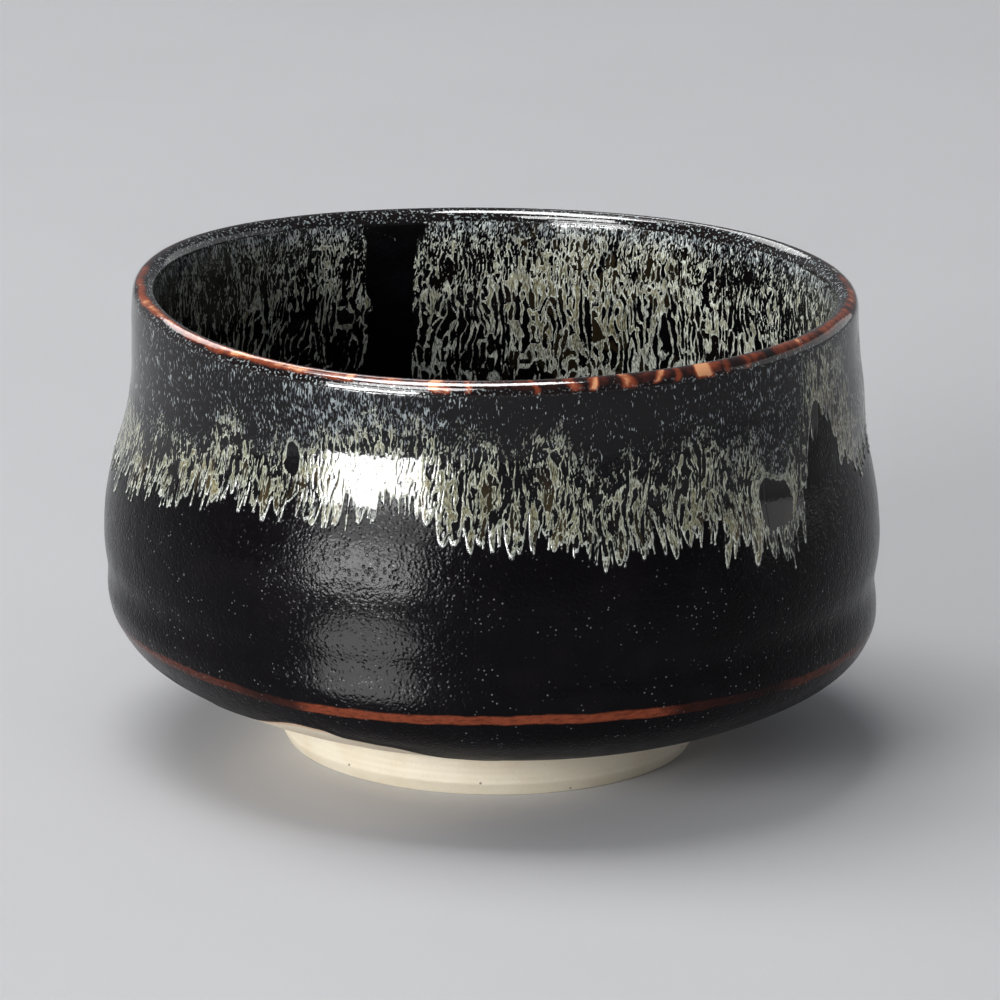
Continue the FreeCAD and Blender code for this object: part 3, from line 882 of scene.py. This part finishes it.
def glaze_edge(turn):
    """Where the black glaze ends outside, along the section."""
    ripple = 0.25 * np.sin(5 * turn) + 0.2 * np.sin(9 * turn + 1)
    return (round_table(GLAZE_EDGE, turn) + ripple) * MM


def make_black_outside():
    """The black coat outside, its lower edge wandering wide of the foot at the left."""
    columns, rows = 480, 150
    turn = turns(columns)
    low = glaze_edge(turn)
    part = np.linspace(0.0, 1.0, rows)[:, None]
    along = low + part * (section.outer_lip - low)
    from_edge = along - low
    lift = -1.6 * BARE_LEVEL * smooth_step(0.9 * MM, 0.0, from_edge)
    lift = lift + 0.10 * MM * bump_at(1.2 * MM, 0.6 * MM, from_edge)
    lift = lift - TUCK * smooth_step(5 * MM, 2 * MM, section.outer_lip - along)
    top = surface(turn, along, lift)
    bottom = surface(turn, along[coarse_rows(rows, 10)], -section.coat)
    height = section.at(along)[1] / MM
    strength = round_table(BREAK_STRENGTH, turn)
    attributes = {
        "above_break": height - round_table(BREAK_HEIGHT, turn),
        "break_line": np.broadcast_to(strength, height.shape),
        "thin_edge": 0.85 * smooth_step(1.0 * MM, 0.2 * MM, from_edge),
    }
    make_shell("black_glaze_outside", top, bottom, attributes, "outer_black_glaze",
               black_glaze("black_glaze_outside", True))


def make_black_inside():
    """The black coat inside, from the lip down to the well."""
    columns, rows = 420, 130
    turn = turns(columns)
    end = section.along[-1] - CAP_RADIUS
    part = np.linspace(0.0, 1.0, rows)[:, None]
    along = section.inner_lip + part * (end - section.inner_lip)
    lift = -TUCK * smooth_step(5 * MM, 2 * MM, along - section.inner_lip)
    top = surface(turn, along, lift)
    bottom = surface(turn, along[coarse_rows(rows, 8)], -section.coat)
    make_shell("black_glaze_inside", top, bottom, {}, "inner_black_glaze",
               black_glaze("black_glaze_inside", False), capped=True)


def make_lip():
    """The iron band over the lip: rust on its outer shoulder, black within."""
    columns, rows = 1440, 31
    turn = turns(columns)
    along = np.linspace(section.outer_lip - LIP_OVERLAP, section.inner_lip + LIP_OVERLAP,
                        rows)[:, None]
    beyond = np.maximum(section.outer_lip - along, along - section.inner_lip)
    beyond = np.maximum(beyond, 0.0) / LIP_OVERLAP
    top = surface(turn, along, -1.3 * LIP_DIP * beyond ** 2)
    bottom = surface(turn, along[coarse_rows(rows, 5)], -section.coat)
    rng = np.random.default_rng(5)
    wander = soft_noise(rng, (rows, columns), 4, 5)
    down = (section.crest - along) / MM + 0.16 * wander
    strength = round_table(LIP_RUST, turn)
    reach = round_table(LIP_REACH, turn)
    band = smooth_step(-0.45, 0.0, down) * smooth_step(reach + 0.5, reach - 0.2, down)
    vary = 0.32 - 0.22 * smooth_step(50.0, 20.0, np.abs(angle_between(turn, -150.0)))
    streaks = ring_noise(rng, columns, 1.8) + ring_noise(rng, columns, 6)
    slanted = (np.arange(columns)[None, :] + 1.2 * down + 0.6 * wander) % columns
    streaks = np.interp(slanted, np.arange(columns), streaks)
    rust = strength * (1.0 + vary * streaks) * (0.55 + 0.45 * bump_at(0.6, 0.5, down)) * band
    long_band = smooth_step(-0.45, 0.0, down) * smooth_step(reach + 1.0, reach + 0.3, down)
    for degrees, half, strong in LIP_BLOTCHES:
        across = angle_between(turn, degrees) + 0.5 * wander
        spot = 1.15 * strong * long_band * (1.0 + 0.25 * streaks)
        rust = np.maximum(rust, spot * smooth_step(1.4 * half, 0.3 * half, np.abs(across)))
    # Pale threads that cross the lip aslant.
    place = np.arange(columns)[None, :] + 2.2 * down + 1.5 * wander
    thread = ring_noise(rng, columns, 1.1)
    thread = np.interp(place % columns, np.arange(columns), thread)
    white = smooth_step(1.3, 2.1, thread) * round_table(LIP_THREADS, turn) * band
    under = smooth_step(reach - 0.1, reach + 0.4, down) * round_table(DUST, turn)
    upper = smooth_step(0.0, -0.6, down) + under
    attributes = {"rust": rust, "white": white, "speckle": upper}
    make_shell("iron_lip", top, bottom, attributes, "lip_iron_glaze",
               iron_lip("iron_lip"))


def make_runs(name, paint, start, down, length, columns, rows, node, thickness, colours):
    """The running glaze on one side, in sectors that each hold a share of the columns."""
    grid = Grid(columns, rows, length)
    fields = paint(grid)
    along = start + down * grid.depth
    cover, beads = fields.pop("cover"), fields.pop("beads")
    lift = thickness * (0.25 * cover + 0.10 * fields["pale"] + 0.45 * beads)
    lift = lift - 0.03 * MM * (1.0 - cover)
    lift = lift * smooth_step(0.0, 4.5 * MM, grid.depth)
    lift = lift - LIP_DIP * smooth_step(LIP_OVERLAP, 0.0, grid.depth)
    below = coarse_rows(rows, 10)
    top = surface(grid.turn, along, lift)
    if down < 0:
        top, along = top[::-1], along[::-1]
        fields = {key: values[::-1] for key, values in fields.items()}
    bottom = surface(grid.turn, along[below], -0.15 * MM)
    material = running_glaze(name, *colours)
    share = columns // SECTORS
    for number in range(SECTORS):
        first = number * share + columns // 8
        wanted = np.arange(first, first + share + 1) % columns
        make_shell("%s_%d" % (name, number + 1), top[:, wanted], bottom[:, wanted],
                   {key: values[:, wanted] for key, values in fields.items()},
                   node, material, below=below)


def turned_ring(points, columns):
    """Points of a closed section turned round the axis: (points, columns, 3)."""
    turn = turns(columns)
    radius, height = thrown(turn, points[:, :1], points[:, 1:])
    return np.stack([radius * np.cos(turn), radius * np.sin(turn),
                     height * np.ones_like(turn)], axis=-1)


def make_clay_wall():
    """The clay under the glaze, bare beside the foot and in the recess."""
    columns = 360
    turn = turns(columns)
    foot_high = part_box("foot_ring")[1]
    shoulder = foot_high[2]
    margin = (foot_high[0] - section.radius[0]) / section.rise[0]
    close_end = 27 * MM  # up to here, where bare clay can show, the rows lie closer
    along = np.concatenate([
        np.linspace(-margin - 0.3 * MM, close_end, 90),
        np.linspace(close_end + 0.5 * MM, section.along[-1] - CAP_RADIUS, 100)])[:, None]
    edge = glaze_edge(turn)
    bare = smooth_step(0.7 * MM, 0.0, along - edge)
    trimming = 0.025 * MM * np.sin(along / (0.16 * MM)) * bare
    lift = -section.coat + (section.coat - BARE_LEVEL) * bare + trimming
    top = surface(turn, along, lift)
    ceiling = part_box("clay_body")[0][2]
    boss = min(math.hypot(v.co.x, v.co.y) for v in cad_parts["foot_ring"].data.vertices)
    radius = CAP_RADIUS + np.linspace(1.0, 0.0, 40) * (boss - CAP_RADIUS)
    trim = 0.10 * MM * np.cos(radius / (0.8 * MM)) - 0.7 * MM * bump_at(0.0, 1.6 * MM, radius)
    recess = np.stack([radius, ceiling + trim + 0.1 * MM], axis=1)
    step = np.array([[foot_high[0] - 0.4 * MM, shoulder], [boss, shoulder]])
    under = turned_ring(np.vstack([step, recess]), columns)
    flash = 0.55 * smooth_step(-1.6 * MM, 0.0, along - edge) + 0.10
    make_shell("clay_wall", top, under, {"flash": flash}, "clay_body",
               bare_clay("bare_clay_wall"), capped=True)


def rounded(points, radius, steps=5):
    """A closed outline with every corner rounded by an arc-like curve."""
    result = []
    count = len(points)
    for i in range(count):
        corner = points[i]
        before = points[i - 1] - corner
        after = points[(i + 1) % count] - corner
        reach = min(radius, np.hypot(*before) / 2.2, np.hypot(*after) / 2.2)
        first = corner + before / np.hypot(*before) * reach
        last = corner + after / np.hypot(*after) * reach
        for part in np.linspace(0.0, 1.0, steps):
            result.append((1 - part) ** 2 * first + 2 * part * (1 - part) * corner
                          + part ** 2 * last)
    return np.array(result)


def make_foot():
    """The turned foot with softened bevels and faint turning lines."""
    columns = 480
    turn = turns(columns)
    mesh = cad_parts["foot_ring"].data
    corners = {(round(math.hypot(v.co.x, v.co.y), 4), round(v.co.z, 4)) for v in mesh.vertices}
    corners = np.array(sorted(corners))
    middle = corners.mean(axis=0)
    corners = corners[np.argsort(np.arctan2(*(corners - middle).T[::-1]))]
    outline = rounded(corners, 0.28 * MM)
    dense = []
    for first, second in zip(outline, np.roll(outline, -1, axis=0)):
        pieces = max(1, int(np.hypot(*(second - first)) / (0.25 * MM)))
        dense.extend(first + (second - first) * k / pieces for k in range(pieces))
    dense = np.array(dense)
    wall = smooth_step(1.0 * MM, 2.5 * MM, dense[:, 1]) * smooth_step(
        33.0 * MM, 33.6 * MM, dense[:, 0])
    lines = 0.03 * MM * np.sin(dense[:, 1] / (0.16 * MM)) * wall
    dense = dense + np.stack([lines, np.zeros_like(lines)], axis=1)
    ring = turned_ring(dense, columns)
    wave = 0.12 * MM * np.sin(3 * turn + 0.5) * smooth_step(1 * MM, 3 * MM, ring[..., 2])
    ring[..., 0] += wave * np.cos(turn)
    ring[..., 1] += wave * np.sin(turn)
    rows = len(dense)
    numbers = np.arange(rows * columns).reshape(rows, columns)
    numbers = np.vstack([numbers, numbers[:1]])
    numbers = np.hstack([numbers, numbers[:, :1]])
    zeros = np.zeros(rows * columns)
    faces = grid_faces(numbers)
    make_object("turned_foot", ring.reshape(-1, 3), faces, len(faces), {"flash": zeros},
                "foot_ring", bare_clay("bare_clay_foot"))


# ---- stage

def pale_paper(name):
    """Matt paper with no gloss at all."""
    nodes = Nodes(name)
    cloud = nodes.noise(60 * MM)
    shade = nodes.mix(nodes.ramp(cloud, 0.3, 0.7), FLOOR, tuple(0.985 * c for c in FLOOR))
    return nodes.finish(shade, 0.6, nodes.bump(cloud, 0.1 * MM), 0.0)


def make_floor():
    """A wide pale floor."""
    reach = 6.0
    mesh = bpy.data.meshes.new("floor")
    mesh.from_pydata([(-reach, -reach, 0), (reach, -reach, 0), (reach, reach, 0),
                      (-reach, reach, 0)], [], [(0, 1, 2, 3)])
    mesh.materials.append(pale_paper("pale_floor"))
    floor = bpy.data.objects.new("floor", mesh)
    bpy.context.scene.collection.objects.link(floor)


def add_light(name, azimuth, elevation, distance, target, size, power, mirrored_only=False,
              hidden=False, shape="RECTANGLE"):
    """A flat soft light aimed at a point from an azimuth (0 is the front, positive to the
    right) and an elevation. It shows only in reflections, or only lights, if so asked."""
    data = bpy.data.lights.new(name, "AREA")
    data.shape = shape
    data.size, data.size_y = size
    data.energy = power
    light = bpy.data.objects.new(name, data)
    bpy.context.scene.collection.objects.link(light)
    around = math.radians(azimuth)
    up = math.radians(elevation)
    arm = Vector((math.sin(around) * math.cos(up), -math.cos(around) * math.cos(up),
                  math.sin(up)))
    light.location = Vector(target) + arm * distance
    light.rotation_euler = arm.to_track_quat("Z", "Y").to_euler()
    light.visible_camera = False
    light.visible_diffuse = not mirrored_only
    light.visible_glossy = not hidden


def make_lights():
    """Soft light from above and the front left, and cards that show in the glaze: three low
    on the belly, three on the lip, and a dim wall at each side."""
    world = bpy.data.worlds.new("studio")
    world.use_nodes = True
    background = world.node_tree.nodes["Background"]
    background.inputs["Color"].default_value = (*DAYLIGHT, 1.0)
    background.inputs["Strength"].default_value = 0.27
    bpy.context.scene.world = world
    foot, middle, rim = (0, 0, 0.03), (0, 0, 0.05), (0, 0, 0.07)
    belly, groove = (-0.019, -0.056, 0.058), (-0.019, -0.060, 0.034)
    mirror = {"mirrored_only": True}
    add_light("top", -105, 76, 2.0, (0, 0.12, 0), (1.2, 1.2), 24.0)
    add_light("softbox", -40, 16, 1.5, foot, (0.60, 0.45), 17.0, hidden=True)
    add_light("left", -104, 26, 1.6, foot, (0.6, 0.5), 4.4, hidden=True)
    add_light("low_card", -38, 2, 0.36, belly, (0.21, 0.078), 2.7, **mirror)
    add_light("dim_window", -38, 17, 0.40, belly, (0.24, 0.076), 1.1, **mirror)
    add_light("rim_card", -152, 37, 1.5, rim, (1.10, 0.42), 10.0, **mirror)
    add_light("near_glow", -38, -27, 0.043, groove, (0.038, 0.026), 0.037, shape="ELLIPSE",
              **mirror)
    add_light("front_card", -29, 37, 0.8, rim, (0.46, 0.30), 12.0, **mirror)
    add_light("lip_card", -70, 80, 1.0, rim, (0.50, 0.75), 42.0, **mirror)
    add_light("right_wall", 115, 12, 2.0, middle, (2.8, 1.0), 9.0, **mirror)
    add_light("left_wall", -122, 12, 2.0, middle, (2.4, 1.0), 2.0, **mirror)


def make_camera():
    """The camera, with its small yaw and roll."""
    data = bpy.data.cameras.new("camera")
    data.lens = CAMERA_LENS
    data.sensor_width = 36.0
    data.clip_end = 20.0
    camera = bpy.data.objects.new("camera", data)
    bpy.context.scene.collection.objects.link(camera)
    turned = (Matrix.Rotation(math.radians(-CAMERA_YAW), 4, "Z")
              @ Matrix.Rotation(math.radians(90.0 - CAMERA_PITCH), 4, "X")
              @ Matrix.Rotation(math.radians(CAMERA_ROLL), 4, "Z"))
    camera.matrix_world = Matrix.Translation((0.0, -CAMERA_DISTANCE, CAMERA_HEIGHT)) @ turned
    bpy.context.scene.camera = camera


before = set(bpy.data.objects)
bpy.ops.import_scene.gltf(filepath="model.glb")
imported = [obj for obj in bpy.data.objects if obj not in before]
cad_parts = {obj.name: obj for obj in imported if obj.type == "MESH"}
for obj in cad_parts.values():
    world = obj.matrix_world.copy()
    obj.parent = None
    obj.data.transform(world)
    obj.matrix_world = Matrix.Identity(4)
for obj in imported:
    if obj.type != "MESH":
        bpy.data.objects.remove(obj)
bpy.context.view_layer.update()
section = Section()

make_camera()
make_clay_wall()
make_foot()
make_black_outside()
make_black_inside()
make_lip()
make_runs("running_glaze_outside", paint_outside, section.outer_lip, -1, 36 * MM, 2880, 120,
          "running_glaze_outer", 0.35 * MM, (STRAND, STRAND_EDGE))
make_runs("running_glaze_inside", paint_inside, section.inner_lip, 1, 44 * MM, 2560, 136,
          "running_glaze_inner", 0.30 * MM,
          (STRAND_INSIDE, STRAND_EDGE_INSIDE))
make_floor()
make_lights()

bpy.context.scene.view_settings.view_transform = "Standard"
